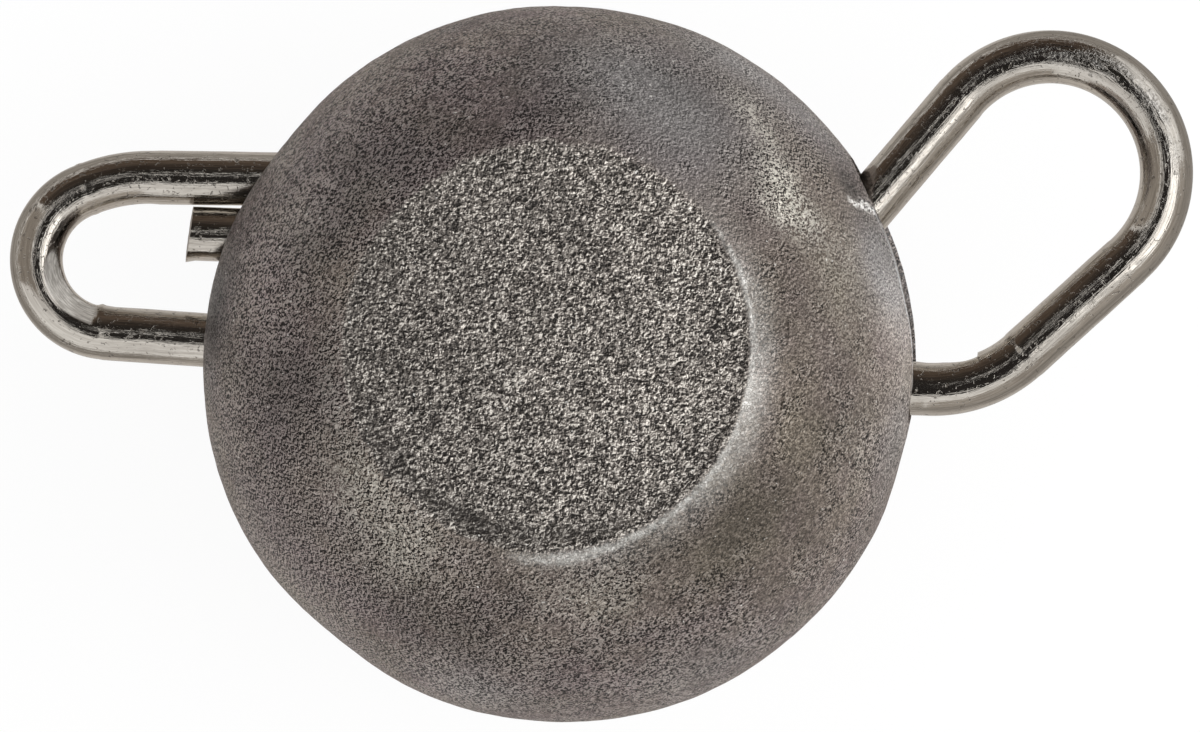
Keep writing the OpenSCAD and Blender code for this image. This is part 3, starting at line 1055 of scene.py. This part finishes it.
def studio_card(name, inside, colour):
    """A card on a dome round the object, where inside(azimuth, polar) is true."""
    radius, step, lowest = 0.3, 2, 96
    points, tints, faces, index = [], [], [], {}

    def corner(azimuth, polar):
        key = (azimuth % 360, polar)
        if key not in index:
            index[key] = len(points)
            points.append(direction(*key) * radius + Vector(CENTRE * MM))
            tints.append(colour(*key))
        return index[key]

    for azimuth in range(0, 360, step):
        for polar in range(0, lowest, step):
            if inside(azimuth + step / 2, polar + step / 2):
                faces.append([
                    corner(azimuth, polar), corner(azimuth + step, polar),
                    corner(azimuth + step, polar + step), corner(azimuth, polar + step),
                ])
    card = mesh_object(name, points, faces, 1)
    set_attribute(card, "tint", tints)
    put_card(card, "tint")


def table_card(name, inner, outer, colour):
    """A ring of the sheet or the table that the object lies on, as its metal shows it."""
    n, height = 96, 0.05
    turns = [2 * math.pi * i / n for i in range(n)]
    points = [(r * math.cos(a), r * math.sin(a), height) for r in (inner, outer) for a in turns]
    faces = [(i, (i + 1) % n, n + (i + 1) % n, n + i) for i in range(n)]
    put_card(mesh_object(name, points, faces), colour)


def make_floor():
    """A white floor that is seen as background, and keeps the object's shadow."""
    # Half the floor's side in metres, and the share of what is seen of it that is background
    half, background = 1.5, 0.92
    corners = [(-half, -half, 0), (half, -half, 0), (half, half, 0), (-half, half, 0)]
    floor = mesh_object("floor", corners, [(0, 1, 2, 3)], 1)
    m = Nodes("floor")
    path = m.add("ShaderNodeLightPath").outputs
    seen = m.math("MAXIMUM", path["Is Camera Ray"], path["Is Glossy Ray"])
    seen = m.math("MAXIMUM", seen, path["Is Transmission Ray"])
    matt = m.add("ShaderNodeBsdfDiffuse", {"Color": rgb(0.94, 0.94, 0.94)})
    white = m.add("ShaderNodeEmission", {"Color": rgb(1, 1, 1), "Strength": 1.0})
    both = m.add("ShaderNodeMixShader", {
        0: m.times(seen, background), 1: matt.outputs[0], 2: white.outputs[0],
    })
    floor.data.materials.append(m.end(both))


def make_lamp(name, azimuth, polar, distance, width, height, radiance, shines=True):
    """A soft panel that faces the object, and shows in its metal where it shines."""
    data = bpy.data.lights.new(name, "AREA")
    data.shape, data.size, data.size_y = "RECTANGLE", width, height
    data.energy = radiance * math.pi * width * height
    lamp = bpy.data.objects.new(name, data)
    way = direction(azimuth, polar)
    lamp.location = Vector(CENTRE * MM) + way * distance
    lamp.rotation_mode = "QUATERNION"
    lamp.rotation_quaternion = way.to_track_quat("Z", "Y")
    lamp.visible_camera = False
    lamp.visible_glossy = shines
    bpy.context.scene.collection.objects.link(lamp)


# Colours of the studio's cards, and of the back card's darkest and brownest places
LENS_CARD, LEFT_CARD, LOW_CARD = (0.028, 0.026, 0.025), (0.34, 0.31, 0.28), (0.47, 0.44, 0.41)
BACK_DARK, BACK_BROWN = np.array([0.030, 0.027, 0.025]), np.array([0.120, 0.091, 0.071])
SHEET, TABLE = rgb(0.62, 0.59, 0.56), rgb(0.36, 0.34, 0.32)


def make_studio():
    scene = bpy.context.scene
    scene.view_settings.view_transform = "Standard"
    world = bpy.data.worlds.new("studio")
    scene.world = world
    world.use_nodes = True
    sky = world.node_tree.nodes["Background"].inputs
    sky["Color"].default_value, sky["Strength"].default_value = rgb(1, 1, 1), 0.9
    make_floor()
    lens = direction(-45, 8)

    def off_lens(azimuth, polar):
        return math.degrees(direction(azimuth, polar).angle(lens))

    def behind(azimuth, polar):
        near = 28 if azimuth > 112 else 23
        return polar < 90 and abs(turn_gap(azimuth, 103)) < 39 and off_lens(azimuth, polar) >= near

    def browner(azimuth, polar):
        return BACK_DARK + (BACK_BROWN - BACK_DARK) * smooth(off_lens(azimuth, polar), 36, 88)

    def left(azimuth, polar):
        return 24 <= polar < 88 and abs(turn_gap(azimuth, 167)) < 24

    def low(azimuth, polar):
        return 57 <= polar < 88 and abs(turn_gap(azimuth, -42)) < 52

    # Each card is given by the places that it covers and its colour there
    studio_card("lens_card", lambda a, t: off_lens(a, t) < 23, lambda a, t: LENS_CARD)
    studio_card("back_card", behind, browner)
    studio_card("left_card", left, lambda a, t: LEFT_CARD)
    studio_card("low_card", low, lambda a, t: LOW_CARD)
    table_card("sheet_card", 3.9, 13, SHEET)
    table_card("table_card", 13, 300, TABLE)
    # Each lamp: azimuth and angle off the camera, distance, width and height in metres, radiance
    make_lamp("side_panel", -12, 33, 0.28, 0.16, 0.17, 1.2)
    make_lamp("high_panel", 32, 58, 0.28, 0.16, 0.2, 0.35)
    make_lamp("key_light", 0, 62, 0.25, 0.2, 0.2, 3.4, shines=False)


# The scene

make_camera()
make_studio()

ball = make_ball()
ball.data.materials.clear()
ball.data.materials.append(sintered_metal())
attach(ball, "sinker_body")
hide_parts("sinker_body")

wire = make_wire()
wire.data.materials.append(spring_steel())
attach(wire, "wire_clip")
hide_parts("wire_clip")
